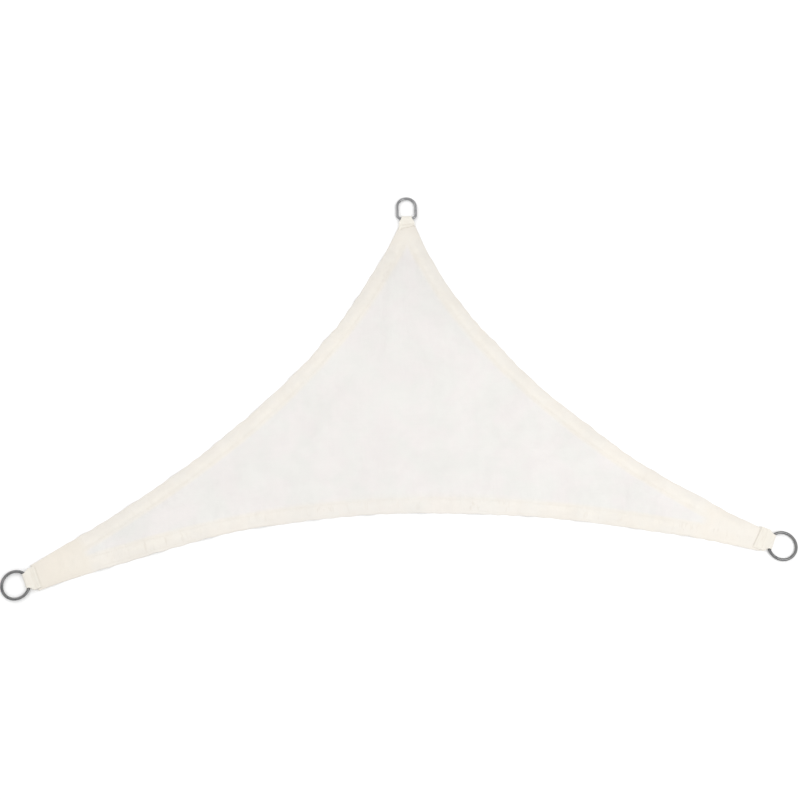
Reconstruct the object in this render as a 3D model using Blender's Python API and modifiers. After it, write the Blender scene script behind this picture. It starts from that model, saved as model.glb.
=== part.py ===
# A triangular shade sail that lies flat: one sheet of cloth with three hollow-cut, hemmed edges,
# and at each corner a folded webbing tab that holds a steel D-ring. Metres, +Z up.
# The long edge is at the front, along X, and the third corner points towards +Y.

from collections import namedtuple
from math import asin, atan2, cos, pi, radians, sin, sqrt

import bmesh
import bpy
import numpy as np
from mathutils import Matrix, Vector

# Cloth
PANEL_THICK = 0.0012      # the single layer in the middle
HEM_THICK = 0.0026        # the turned-in hem along the edges
HEM_WIDTH = 0.040
HEM_STEP = 0.003          # width over which the hem's thickness ends
TIP_SET = 0.020           # each corner of the cloth is cut off this far behind its ring's bar
GAP = 0.0003              # clearance between pieces that touch

# Webbing
WEB_THICK = 0.0018
FOLD_FADE = 0.014         # the webbing is drawn in where it folds round the bar, and is back at
                          # full width this far behind it
CLOSE_RUN = 0.016         # the upper leg has come down on the cloth this far behind the bar
LEG_STAGGER = 0.002       # the lower leg is this much longer than the upper one

# D-rings of round wire, with a straight bar and a round end
WIRE = 0.0072
RING_CORNER = 0.0095      # radius of the wire's axis at both ends of the bar

# Sizes of a ring and its webbing. The ring's width is outside, across, and its depth is from the
# bar's axis to the outside of the round end. The webbing is drawn in to "fold" at the bar.
Fitting = namedtuple("Fitting", "ring_width ring_depth web fold")
WIDE = Fitting(0.077, 0.067, 0.058, 0.039)
NARROW = Fitting(0.057, 0.0635, 0.042, 0.028)

# Corners of the sail: where the ring's bar is in plan, the way the ring points, the cloth's reach
# to the port and starboard side of that way at its cut end, and the length of the tab's upper leg.
Corner = namedtuple("Corner", "name x y heading port starboard leg fitting")
CORNERS = (
    Corner("left", -0.9345, -0.0028, 199.0, 0.0354, 0.0356, 0.031, WIDE),
    Corner("right", 0.9355, 0.0000, -25.0, 0.0258, 0.0337, 0.038, WIDE),
    Corner("top", 0.0661, 0.9451, 88.5, 0.0215, 0.0240, 0.028, NARROW),
)
CALM_KEEP = 0.040         # the cloth lies flat on the tab's lower leg up to here behind the bar
CALM_RUN = 0.060          # and is down on the surface, with its folds, this much further on

# Edges: hollow curves between the corners' cut ends. Halfway along, each is "sag" to the left of
# the straight line from start to end, so both back edges have a negative one. "lean" moves the
# deepest point towards the edge's end, and "ends" makes both outer parts of the edge deeper.
Edge = namedtuple("Edge", "name start start_side end end_side sag lean ends")
EDGES = (
    Edge("front", "left", "port", "right", "starboard", 0.1483, -0.100, -0.080),
    Edge("port", "left", "starboard", "top", "port", -0.1044, 0.220, 0.000),
    Edge("starboard", "top", "starboard", "right", "port", -0.1077, -0.177, 0.125),
)

# Low folds in the cloth: middle, heading, half length, half width and height.
Fold = namedtuple("Fold", "x y heading length width height")
FOLDS = (
    Fold(-0.640, 0.135, 24, 0.260, 0.032, 0.0050),
    Fold(-0.500, 0.250, 38, 0.220, 0.038, 0.0050),
    Fold(-0.350, 0.185, 12, 0.180, 0.034, 0.0036),
    Fold(-0.130, 0.430, 52, 0.220, 0.042, 0.0056),
    Fold(0.015, 0.680, 84, 0.220, 0.032, 0.0064),
    Fold(0.120, 0.530, -70, 0.180, 0.036, 0.0048),
    Fold(0.270, 0.350, -48, 0.200, 0.040, 0.0052),
    Fold(0.420, 0.235, -34, 0.200, 0.036, 0.0042),
    Fold(0.660, 0.130, -23, 0.240, 0.030, 0.0056),
    Fold(0.090, 0.225, -8, 0.160, 0.034, 0.0030),
)
PUCKER_PITCH = 0.135      # the hems lift off the surface in waves of about this length
PUCKER_HEIGHT = 0.0032
PUCKER_REACH = 0.075      # and lie flat again this far in from the edge

# Grid of the cloth: columns from the left corner to the right one, rows from the front edge back.
PORT_COLUMNS = 52
TIP_COLUMNS = 2
STARBOARD_COLUMNS = 46
HEM_ROWS = 3
HEM_SHARE = 0.62          # the first row inside the edge takes at most this much of the hem
PANEL_ROWS = 9
ROW_MIN = 0.0012          # rows stay this far apart where two hems meet
EDGE_SAMPLES = 240
HALVINGS = 30             # steps in which the hem's inner end is found

# Steps along the webbing and round a ring's wire
LEG_STEPS = 4
TURN_STEPS = 10
CLOSE_STEPS = 6
ACROSS_STEPS = 10
CORNER_STEPS = 4
ARC_STEPS = 28
SHARP_TURN = 40           # degrees between two faces from which their edge stays sharp

BAR_RISE = WIRE / 2 + GAP + WEB_THICK / 2     # bar's axis above the lower leg's middle
LEG_LOW = -GAP - WEB_THICK / 2                # legs' middles, from the cloth's underside
LEG_HIGH = HEM_THICK + GAP + WEB_THICK / 2
BAR_HIGH = LEG_LOW + BAR_RISE                 # bar's axis, from the cloth's underside
SEAT = WEB_THICK + GAP                        # the lower leg lies between cloth and surface


def smooth(t):
    """Rises from 0 at t = 0 to 1 at t = 1, level at both ends."""
    t = min(max(t, 0.0), 1.0)
    return t * t * (3 - 2 * t)


def hump(t):
    """1 at t = 0, and nothing from t = 1 on."""
    return max(1 - t * t, 0.0) ** 2


# ------------------------------------------------------------------ corners

def corner_named(name):
    return next(corner for corner in CORNERS if corner.name == name)


def corner_axes(corner):
    """The bar's place in plan, the way inwards to the cloth, and the port side."""
    out = radians(corner.heading)
    return Vector((corner.x, corner.y)), -Vector((cos(out), sin(out))), Vector((-sin(out), cos(out)))


def corner_point(corner, inward, side, high):
    """A point of the corner: inward from the bar, to port, and up from the cloth's underside."""
    place, inwards, port = corner_axes(corner)
    plan = place + inwards * inward + port * side
    return Vector((plan.x, plan.y, SEAT + high))


# -------------------------------------------------------------------- cloth

def cut_end(name, side):
    """A corner of the cloth in plan, at one end of its short cut edge."""
    corner = corner_named(name)
    place, inwards, port = corner_axes(corner)
    reach = corner.port if side == "port" else -corner.starboard
    return place + inwards * TIP_SET + port * reach


def edge_point(edge, t):
    """A place in plan on an edge, at a share t of the way from its start."""
    start = cut_end(edge.start, edge.start_side)
    end = cut_end(edge.end, edge.end_side)
    chord = end - start
    inwards = Vector((-chord.y, chord.x)).normalized()
    past = 2 * t - 1
    depth = edge.sag * (1 - past * past) * (1 + edge.lean * past + edge.ends * past * past)
    return start + chord * t + inwards * depth


def edge_samples(edge):
    """Many places in plan along an edge, to measure distances from it."""
    steps = range(EDGE_SAMPLES + 1)
    return np.array([edge_point(edge, step / EDGE_SAMPLES) for step in steps])


def nearest(point, samples):
    """Distance from a point to a sampled edge, and the length of edge up to there."""
    starts = samples[:-1]
    runs = samples[1:] - starts
    lengths = np.linalg.norm(runs, axis=1)
    along = np.clip(((point - starts) * runs).sum(axis=1) / lengths ** 2, 0, 1)
    gaps = np.linalg.norm(starts + runs * along[:, None] - point, axis=1)
    best = int(gaps.argmin())
    return gaps[best], lengths[:best].sum() + along[best] * lengths[best]


def fold_height(fold, point):
    heading = radians(fold.heading)
    away = point - np.array((fold.x, fold.y))
    along = away[0] * cos(heading) + away[1] * sin(heading)
    across = -away[0] * sin(heading) + away[1] * cos(heading)
    return fold.height * hump(along / fold.length) * hump(across / fold.width)


def underside(point, sampled):
    """Height of the cloth's underside over a place in plan: flat, but for folds and corners."""
    height = sum(fold_height(fold, point) for fold in FOLDS)
    for number, samples in enumerate(sampled):
        gap, length = nearest(point, samples)
        wave = max(sin(2 * pi * length / PUCKER_PITCH + number), 0.0) ** 2
        height += PUCKER_HEIGHT * wave * (1 - smooth(gap / PUCKER_REACH))
    for corner in CORNERS:
        place, inwards, _ = corner_axes(corner)
        away = Vector(point) - place
        calm = smooth((away.dot(inwards) - CALM_KEEP) / CALM_RUN)
        if away.length < CALM_KEEP + 2 * CALM_RUN:
            height = height * calm + SEAT * (1 - calm)
    return height


def crossing(low, high, samples):
    """Share of the way from low to high at which the hem along the sampled edges ends."""
    start, end = 0.0, 1.0
    for _ in range(HALVINGS):
        middle = (start + end) / 2
        point = low + (high - low) * middle
        if min(nearest(point, edge)[0] for edge in samples) < HEM_WIDTH:
            start = middle
        else:
            end = middle
    return end


def back_edge(column):
    """A place on the two back edges and the cut end between them."""
    _, port_edge, starboard_edge = EDGES
    if column <= PORT_COLUMNS:
        return edge_point(port_edge, column / PORT_COLUMNS)
    if column < PORT_COLUMNS + TIP_COLUMNS:
        share = (column - PORT_COLUMNS) / TIP_COLUMNS
        return cut_end("top", "port").lerp(cut_end("top", "starboard"), share)
    share = (column - PORT_COLUMNS - TIP_COLUMNS) / STARBOARD_COLUMNS
    return edge_point(starboard_edge, share)


def hem_shares(hem, length):
    """Rows across one hem: one at half its width from the edge, the others evenly up to its end."""
    first = min(HEM_WIDTH / 2 / length, hem * HEM_SHARE)
    steps = range(HEM_ROWS)
    return [0.0] + [first + (hem - first) * row / (HEM_ROWS - 1) for row in steps]


def column_places(column, columns, sampled):
    """The rows of one column in plan, and how much of the hem's thickness each row has."""
    low = np.array(edge_point(EDGES[0], column / columns))
    high = np.array(back_edge(column))
    length = np.linalg.norm(high - low)
    narrow = (PANEL_ROWS + 2) * ROW_MIN / length / 2
    front = crossing(low, high, sampled[:1])
    back = 1 - crossing(high, low, sampled[1:])
    middle = (front + back) / 2 if front < 1 and back > 0 else 0.5
    front = min(front, middle - narrow)
    back = max(back, middle + narrow)
    step = min(HEM_STEP / length, (back - front) / (PANEL_ROWS + 2))
    shares = hem_shares(front, length)
    span = back - front - 2 * step
    shares += [front + step + span * row / PANEL_ROWS for row in range(PANEL_ROWS + 1)]
    shares += [1 - share for share in reversed(hem_shares(1 - back, length))]
    places = [low + (high - low) * share for share in shares]
    weights = [float(min(nearest(place, edge)[0] for edge in sampled) < HEM_WIDTH + GAP)
               for place in places]
    return places, weights


def make_cloth():
    """The sheet: one grid over the whole triangle, thickened upwards, thicker along its hems."""
    columns = PORT_COLUMNS + TIP_COLUMNS + STARBOARD_COLUMNS
    rows = 2 * HEM_ROWS + PANEL_ROWS + 2
    sampled = [edge_samples(edge) for edge in EDGES]
    mesh = bpy.data.meshes.new("sail_cloth")
    form = bmesh.new()
    bmesh.ops.create_grid(form, x_segments=columns, y_segments=rows, size=0.5)
    hem = {}
    laid = [column_places(column, columns, sampled) for column in range(columns + 1)]
    for vert in form.verts:
        column = round((vert.co.x + 0.5) * columns)
        row = round((vert.co.y + 0.5) * rows)
        places, weights = laid[column]
        vert.co = (*places[row], underside(places[row], sampled))
        hem[vert.index] = weights[row]
    form.to_mesh(mesh)
    form.free()
    cloth = bpy.data.objects.new("sail_cloth", mesh)
    group = cloth.vertex_groups.new(name="hem")
    for index, weight in hem.items():
        group.add([index], weight, "REPLACE")
    shell = cloth.modifiers.new("thickness", "SOLIDIFY")
    shell.thickness = HEM_THICK
    shell.offset = 1
    shell.vertex_group = group.name
    shell.thickness_vertex_group = PANEL_THICK / HEM_THICK
    return cloth


# --------------------------------------------------------------------- tabs

def tab_path(leg):
    """The middle of the webbing in section: inward from the bar, and up from the cloth."""
    lower = leg + LEG_STAGGER
    path = [(lower * (1 - step / LEG_STEPS), LEG_LOW) for step in range(LEG_STEPS)]
    for step in range(TURN_STEPS + 1):
        turn = pi * step / TURN_STEPS
        path.append((-BAR_RISE * sin(turn), BAR_HIGH - BAR_RISE * cos(turn)))
    top = BAR_HIGH + BAR_RISE
    for step in range(1, CLOSE_STEPS + 1):
        share = step / CLOSE_STEPS
        path.append((CLOSE_RUN * share, top + (LEG_HIGH - top) * smooth(share)))
    for step in range(1, LEG_STEPS + 1):
        path.append((CLOSE_RUN + (leg - CLOSE_RUN) * step / LEG_STEPS, LEG_HIGH))
    return path


def bar_bend(side, fitting):
    """How far the bar has bent outwards at a distance from its middle, and how much longer a cut
    through it is there than across it. Both stay as they are at the side of the fold past that."""
    bar_half = ring_shape(fitting).bar_half
    past = max(min(abs(side), fitting.fold / 2) - bar_half, 0.0)
    level = sqrt(RING_CORNER ** 2 - past ** 2)
    return RING_CORNER - level, RING_CORNER / level


def make_tab(corner):
    """A strip of webbing folded round the ring's bar, one leg under the cloth and one on it."""
    path = tab_path(corner.leg)
    fitting = corner.fitting
    mesh = bpy.data.meshes.new("tab_" + corner.name)
    form = bmesh.new()
    bmesh.ops.create_grid(form, x_segments=len(path) - 1, y_segments=ACROSS_STEPS, size=0.5)
    for vert in form.verts:
        inward, high = path[round((vert.co.x + 0.5) * (len(path) - 1))]
        spread = smooth(inward / FOLD_FADE)
        side = -vert.co.y * (fitting.fold + (fitting.web - fitting.fold) * spread)
        bow, stretch = bar_bend(side, fitting)
        bent = inward * stretch - bow
        vert.co = corner_point(corner, bent + (inward - bent) * spread, side, high)
    form.to_mesh(mesh)
    form.free()
    tab = bpy.data.objects.new("tab_" + corner.name, mesh)
    shell = tab.modifiers.new("thickness", "SOLIDIFY")
    shell.thickness = WEB_THICK
    shell.offset = 0
    shell.use_even_offset = True
    return tab


# -------------------------------------------------------------------- rings

RingShape = namedtuple("RingShape", "radius middle bar_half meet")


def ring_shape(fitting):
    """The round end's radius and how far out its middle is, half the straight bar, and the turn
    at which a tight corner meets the round end, or the straight side that leads to it."""
    radius = (fitting.ring_width - WIRE) / 2
    middle = fitting.ring_depth - fitting.ring_width / 2
    if middle > radius:
        return RingShape(radius, middle, radius - RING_CORNER, pi / 2)
    bar_half = sqrt((radius - RING_CORNER) ** 2 - (middle - RING_CORNER) ** 2)
    return RingShape(radius, middle, bar_half, atan2(bar_half, RING_CORNER - middle))


def ring_outline(shape):
    """The wire's axis: out from the bar, and across. A straight bar, two tight corners, one arc."""
    flank = []
    for step in range(CORNER_STEPS):
        turn = pi + (shape.meet - pi) * step / CORNER_STEPS
        flank.append((RING_CORNER * (1 + cos(turn)), shape.bar_half + RING_CORNER * sin(turn)))
    if shape.middle > shape.radius:
        flank.append((RING_CORNER, shape.radius))
    arc = []
    for step in range(ARC_STEPS + 1):
        turn = shape.meet * (1 - 2 * step / ARC_STEPS)
        arc.append((shape.middle + shape.radius * cos(turn), shape.radius * sin(turn)))
    return flank + arc + [(out, -side) for out, side in reversed(flank)]


def make_ring(corner):
    """A ring whose bar lies in the corner's tab, and whose round end rests on the surface."""
    shape = ring_shape(corner.fitting)
    wire = bpy.data.curves.new("ring_" + corner.name, "CURVE")
    wire.dimensions = "3D"
    wire.bevel_depth = WIRE / 2
    wire.bevel_resolution = 2
    outline = ring_outline(shape)
    spline = wire.splines.new("POLY")
    spline.points.add(len(outline) - 1)
    for point, (out, side) in zip(spline.points, outline):
        point.co = (out, side, 0, 1)
    spline.use_cyclic_u = True

    _, inwards, port = corner_axes(corner)
    bar = corner_point(corner, 0, 0, BAR_HIGH)
    drop = asin((bar.z - WIRE / 2) / (shape.middle + shape.radius))
    turn = Matrix(((-inwards.x, -inwards.y, 0), (port.x, port.y, 0), (0, 0, 1))).transposed()
    ring = bpy.data.objects.new("ring_" + corner.name, wire)
    ring.location = bar
    ring.rotation_euler = (turn @ Matrix.Rotation(drop, 3, "Y")).to_euler()
    return ring


# ------------------------------------------------------------------- finish

def make_material(name, colour, roughness, metallic):
    material = bpy.data.materials.new(name)
    material.use_nodes = True
    shader = material.node_tree.nodes["Principled BSDF"]
    shader.inputs["Base Color"].default_value = (*colour, 1)
    shader.inputs["Roughness"].default_value = roughness
    shader.inputs["Metallic"].default_value = metallic
    return material


def reach(parts):
    """The lowest and highest corners of all the parts."""
    bpy.context.view_layer.update()
    graph = bpy.context.evaluated_depsgraph_get()
    points = []
    for part in parts:
        shown = part.evaluated_get(graph)
        mesh = shown.to_mesh()
        points += [shown.matrix_world @ vert.co for vert in mesh.vertices]
        shown.to_mesh_clear()
    low = Vector(min(point[axis] for point in points) for axis in range(3))
    high = Vector(max(point[axis] for point in points) for axis in range(3))
    return low, high


def main():
    for old in list(bpy.data.objects):
        bpy.data.objects.remove(old)
    collection = bpy.data.collections.new("shade_sail")
    bpy.context.scene.collection.children.link(collection)
    root = bpy.data.objects.new("sail_origin", None)
    collection.objects.link(root)

    cloth_finish = make_material("sail_fabric", (0.86, 0.83, 0.78), 0.85, 0)
    web_finish = make_material("webbing", (0.85, 0.80, 0.70), 0.80, 0)
    steel = make_material("ring_steel", (0.33, 0.34, 0.36), 0.30, 1)

    finished = [(make_cloth(), cloth_finish)]
    finished += [(make_tab(corner), web_finish) for corner in CORNERS]
    finished += [(make_ring(corner), steel) for corner in CORNERS]
    for part, finish in finished:
        collection.objects.link(part)
        part.parent = root
        part.data.materials.append(finish)
        if part.type == "MESH":
            part.data.shade_smooth()
            part.data.set_sharp_from_angle(angle=radians(SHARP_TURN))

    # The origin is under the middle of the whole sail, on the surface that it lies on.
    low, high = reach([part for part, _ in finished])
    root.location = (-(low.x + high.x) / 2, -(low.y + high.y) / 2, -low.z)
    bpy.context.view_layer.update()
    print("sail: %.3f x %.3f x %.3f m, %d parts" % (*(high - low), len(finished)))


main()
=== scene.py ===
# %% [markdown]
# # A triangular shade sail
# The real sail is one sheet of polyester cloth, cut hollow along its three sides so that it pulls
# tight without flapping. Each side is turned in and sewn to a hem, and a folded strip of webbing
# holds a steel D-ring at each corner. The bare model already has these seven pieces at their real
# size. This lesson puts a finer piece in the place of each, such as cloth with gathered seams,
# ribbed webbing or smooth wire, and adds the sewing.

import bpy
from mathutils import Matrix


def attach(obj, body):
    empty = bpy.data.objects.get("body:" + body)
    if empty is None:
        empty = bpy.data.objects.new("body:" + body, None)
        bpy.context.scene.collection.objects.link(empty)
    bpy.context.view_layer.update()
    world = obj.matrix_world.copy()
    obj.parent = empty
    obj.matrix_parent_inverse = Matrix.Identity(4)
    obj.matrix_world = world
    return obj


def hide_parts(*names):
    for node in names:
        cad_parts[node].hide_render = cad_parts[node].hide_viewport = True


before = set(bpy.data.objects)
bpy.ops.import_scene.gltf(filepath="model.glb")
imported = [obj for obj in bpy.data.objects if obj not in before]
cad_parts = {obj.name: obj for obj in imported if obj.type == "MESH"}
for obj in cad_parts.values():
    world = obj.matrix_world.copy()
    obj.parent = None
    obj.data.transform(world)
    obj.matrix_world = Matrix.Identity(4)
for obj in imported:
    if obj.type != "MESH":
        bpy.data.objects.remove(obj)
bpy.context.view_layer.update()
print("bare nodes:", ", ".join(sorted(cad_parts)))

# %% The libraries
from collections import namedtuple
from math import asin, atan2, cos, pi, radians, sin, sqrt, tan

import bmesh
import bpy
import numpy as np
from mathutils import Matrix, Vector
from mathutils.bvhtree import BVHTree

# %% [markdown]
# ## Camera
# The sail is seen from above its long front edge, 71 degrees up. A long lens keeps both arms of
# the triangle in proportion.

# %% Set up the camera
SENSOR = 36.0
HALF_VIEW = radians(15)
VIEW_RISE = radians(71)
VIEW_TURN = radians(-2.9756)
CAMERA_PLACE = Vector((-0.04419, -1.31468, 3.67335))


def add_object(name, data):
    """Puts a new object with this data into the scene."""
    made = bpy.data.objects.new(name, data)
    bpy.context.scene.collection.objects.link(made)
    return made


camera_data = bpy.data.cameras.new("camera")
camera_data.sensor_width = SENSOR
camera_data.lens = SENSOR / 2 / tan(HALF_VIEW)
camera = add_object("camera", camera_data)
back = Vector((sin(VIEW_TURN) * cos(VIEW_RISE), -cos(VIEW_TURN) * cos(VIEW_RISE), sin(VIEW_RISE)))
camera.location = CAMERA_PLACE
camera.rotation_euler = back.to_track_quat("Z", "Y").to_euler()
bpy.context.scene.camera = camera
print("lens: %.1f mm" % camera_data.lens)

# %% [markdown]
# ## Sums in a material
# A material works out numbers at each point of a surface. Written with nodes alone, even a short
# sum is long to read, so one small class stands for a number and lets Python's own signs add the
# Math nodes. A second class is one material: all its other nodes come from a single method.

# %% Numbers and finishes
class Amount:
    """A number that a finish works out at each point. Sums with it add Math nodes."""

    def __init__(self, finish, socket):
        self.finish = finish
        self.socket = socket

    def math(self, operation, *terms):
        return self.finish.node("Math", {"operation": operation}, dict(enumerate(terms)))

    def __add__(self, other):
        return self.math("ADD", self, other)

    def __sub__(self, other):
        return self.math("SUBTRACT", self, other)

    def __rsub__(self, other):
        return self.math("SUBTRACT", other, self)

    def __mul__(self, other):
        return self.math("MULTIPLY", self, other)

    __radd__ = __add__
    __rmul__ = __mul__

    def sine(self):
        return self.math("SINE", self)

    def size(self):
        return self.math("ABSOLUTE", self)

    def between(self, low, high, start=0.0, end=1.0):
        """Goes smoothly from start to end as this number goes from low to high."""
        settings = {"interpolation_type": "SMOOTHSTEP"}
        sockets = {0: self, 1: low, 2: high, 3: start, 4: end}
        return self.finish.node("MapRange", settings, sockets)


class Finish:
    """One material, and the nodes that feed its shader."""

    def __init__(self, name, fixed):
        self.material = bpy.data.materials.new(name)
        self.material.use_nodes = True
        self.tree = self.material.node_tree
        self.shader = self.tree.nodes["Principled BSDF"]
        for socket, value in fixed.items():
            self.shader.inputs[socket].default_value = value

    def node(self, kind, settings=None, sockets=None, out=0):
        """Adds a node, sets it, and fills or links its sockets; gives one of its outputs."""
        made = self.tree.nodes.new("ShaderNode" + kind)
        for name, value in (settings or {}).items():
            setattr(made, name, value)
        for key, value in (sockets or {}).items():
            if isinstance(value, Amount):
                self.tree.links.new(value.socket, made.inputs[key])
            else:
                made.inputs[key].default_value = value
        return Amount(self, made.outputs[out])

    def places(self, scale, place=None):
        """The piece's own places in metres, or others, squeezed by a scale along each axis."""
        place = place or self.node("TexCoord", out="Object")
        return self.node("VectorMath", {"operation": "MULTIPLY"}, {0: place, 1: scale})

    def axes(self, places):
        """The x and y of a place, as two numbers."""
        split = self.node("SeparateXYZ", sockets={0: places})
        return split, Amount(self, split.socket.node.outputs[1])

    def attribute(self, name):
        """A measure that is kept at the points of the mesh."""
        return self.node("Attribute", {"attribute_name": name}, out="Fac")

    def noise(self, places, scale, detail=2.0, roughness=0.5):
        sockets = {"Vector": places, "Scale": scale, "Detail": detail, "Roughness": roughness}
        return self.node("TexNoise", sockets=sockets)

    def blend(self, share, first, second):
        """One colour in place of another, by a share from 0 to 1."""
        return self.node("Mix", {"data_type": "RGBA"}, {0: share, 6: first, 7: second}, out=2)

    def tint(self, colour, amount):
        """A colour made lighter or darker by a number near 1."""
        return self.node("VectorMath", {"operation": "SCALE"}, {0: colour, 3: amount})

    def bump(self, height, distance, strength=1.0):
        return self.node("Bump", sockets={"Height": height, "Distance": distance,
                                          "Strength": strength})

    def feed(self, **links):
        """Links numbers, colours or a normal to the shader's sockets, named with _ for a space."""
        for name, value in links.items():
            self.tree.links.new(value.socket, self.shader.inputs[name.replace("_", " ")])
        return self.material


print("ready to mix finishes")

# %% [markdown]
# ## Floor and light
# The sail lies on a plain white floor. A large soft light hangs high in front, a little to the
# right, so the right arm is the brightest. A weaker one hangs behind on the left. Light from all
# around leaves only thin shadows.

# %% Make the floor
FLOOR_HALF = 30.0
FLOOR_DROP = 0.0004
FLOOR_WHITE = (0.96, 0.96, 0.96, 1)


def piece_from(form, name):
    """A smoothly shaded object from a bmesh, which is freed."""
    mesh = bpy.data.meshes.new(name)
    form.to_mesh(mesh)
    form.free()
    mesh.shade_smooth()
    return add_object(name, mesh)


floor_form = bmesh.new()
bmesh.ops.create_grid(floor_form, x_segments=1, y_segments=1, size=FLOOR_HALF)
bmesh.ops.translate(floor_form, verts=floor_form.verts, vec=(0, 0, -FLOOR_DROP))
floor = piece_from(floor_form, "floor")
floor_finish = Finish("floor_white", {"Base Color": FLOOR_WHITE, "Roughness": 0.9})
floor.data.materials.append(floor_finish.material)
print("floor: %.0f metres wide, %.1f mm below the sail" % (2 * FLOOR_HALF, 1000 * FLOOR_DROP))

# %% Hang the lights
SKY_WHITE = (1.0, 1.0, 1.0, 1)
SKY_STRENGTH = 0.95

world = bpy.data.worlds.new("studio")
world.use_nodes = True
sky = world.node_tree.nodes["Background"]
sky.inputs["Color"].default_value = SKY_WHITE
sky.inputs["Strength"].default_value = SKY_STRENGTH
bpy.context.scene.world = world
bpy.context.scene.view_settings.view_transform = "Standard"


def hang_light(name, place, target, width, power):
    """A square soft light that faces a target, with its power in watts."""
    data = bpy.data.lights.new(name, "AREA")
    data.size = width
    data.energy = power
    light = add_object(name, data)
    light.location = place
    aim = Vector(place) - Vector(target)
    light.rotation_euler = aim.to_track_quat("Z", "Y").to_euler()


hang_light("soft_key", place=(1.9, -1.3, 2.9), target=(0.2, 0.0, 0.0), width=1.6, power=32)
hang_light("soft_rim", place=(-1.8, 1.6, 2.0), target=(-0.2, 0.1, 0.0), width=1.2, power=11)
print("two soft lights over a white floor")

# %% [markdown]
# ## The sail's own sizes
# The shape of the cloth follows from the three corners. At each one the bar of a D-ring has a
# place and a heading, the cloth ends 20 mm behind the bar, and the tab keeps the cloth calm. The
# far ring is narrower than the two near ones, with straight sides. These are the bare model's
# sizes, in the plan in which it was drawn. A last shift, the setting, puts the whole sail in the
# middle of the floor.

# %% Thicknesses, clearances and heights
SETTING = Matrix.Translation((0.0001193, -0.4789934, 0))
HEM_THICK = 0.0026
PANEL_THICK = 0.0012
HEM_WIDTH = 0.040
TIP_SET = 0.020
GAP = 0.0003
WEB_THICK = 0.0018
WIRE = 0.0072
RING_CORNER = 0.0095
BAR_RISE = WIRE / 2 + GAP + WEB_THICK / 2
LEG_LOW = -GAP - WEB_THICK / 2
LEG_HIGH = HEM_THICK + GAP + WEB_THICK / 2
BAR_HIGH = LEG_LOW + BAR_RISE
SEAT = WEB_THICK + GAP
CALM_KEEP = 0.040
CALM_RUN = 0.060
print("the cloth lies %.1f mm up on the lower webbing at each corner" % (1000 * SEAT))

# %% [markdown]
# A fitting is one kind of ring, with the width of its webbing flat and at the fold. A corner has
# the middle of its ring's bar, the heading of the ring in degrees, the cut cloth's reach to either
# side, the webbing's run on top and the slant of its cut, and the reach of the layers where two
# hems meet. An edge sags inwards at its middle, leans to one end, and is fuller or flatter at both.

# %% Corners and edges
Fitting = namedtuple("Fitting", "ring_width ring_depth web fold")
WIDE = Fitting(0.077, 0.067, 0.058, 0.039)
NARROW = Fitting(0.057, 0.0635, 0.042, 0.028)
Corner = namedtuple("Corner", "name x y heading port starboard leg slant patch fitting")
CORNERS = (
    Corner("left", -0.9345, -0.0028, 199.0, 0.0354, 0.0356, 0.031, 0.03, 0.150, WIDE),
    Corner("right", 0.9355, 0.0000, -25.0, 0.0258, 0.0337, 0.038, -0.10, 0.162, WIDE),
    Corner("top", 0.0661, 0.9451, 88.5, 0.0215, 0.0240, 0.028, 0.30, 0.065, NARROW),
)
Edge = namedtuple("Edge", "name start start_side end end_side sag lean ends")
EDGES = (
    Edge("front", "left", "port", "right", "starboard", 0.1483, -0.100, -0.080),
    Edge("port", "left", "starboard", "top", "port", -0.1044, 0.220, 0.000),
    Edge("starboard", "top", "starboard", "right", "port", -0.1077, -0.177, 0.125),
)


def smooth(t):
    """Rises from 0 at t = 0 to 1 at t = 1, level at both ends."""
    t = np.clip(t, 0, 1)
    return t * t * (3 - 2 * t)


def hump(t):
    """1 at t = 0, and nothing from t = 1 on."""
    return np.maximum(1 - t * t, 0) ** 2


def corner_axes(corner):
    """The bar's place in plan, the way inwards to the cloth, and the port side."""
    out = radians(corner.heading)
    place = np.array((corner.x, corner.y))
    return place, np.array((-cos(out), -sin(out))), np.array((-sin(out), cos(out)))


def corner_point(corner, inward, side, high):
    """A point of the corner: inward from the bar, to port, and up from the cloth's underside."""
    place, inwards, port = corner_axes(corner)
    plan = place + inwards * inward + port * side
    return Vector((plan[0], plan[1], SEAT + high))


def cut_end(name, side):
    """A corner of the cloth in plan, at one end of its short cut edge."""
    corner = next(corner for corner in CORNERS if corner.name == name)
    place, inwards, port = corner_axes(corner)
    reach = corner.port if side == "port" else -corner.starboard
    return place + inwards * TIP_SET + port * reach


def edge_line(edge, shares):
    """Places in plan along an edge, at shares of the way from its start."""
    t = np.asarray(shares)[:, None]
    start = cut_end(edge.start, edge.start_side)
    chord = cut_end(edge.end, edge.end_side) - start
    across = np.array((-chord[1], chord[0])) / np.linalg.norm(chord)
    past = 2 * t - 1
    depth = edge.sag * (1 - past * past) * (1 + edge.lean * past + edge.ends * past * past)
    return start + chord * t + across * depth


def walked_to(line):
    """The length of a line up to each of its points."""
    return np.concatenate(((0,), np.linalg.norm(line[1:] - line[:-1], axis=1).cumsum()))


EDGE_SAMPLES = 240
LINES = [edge_line(edge, np.linspace(0, 1, EDGE_SAMPLES + 1)) for edge in EDGES]
LENGTHS = [walked_to(line)[-1] for line in LINES]
print("edges in mm:", [round(1000 * length) for length in LENGTHS])
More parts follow.
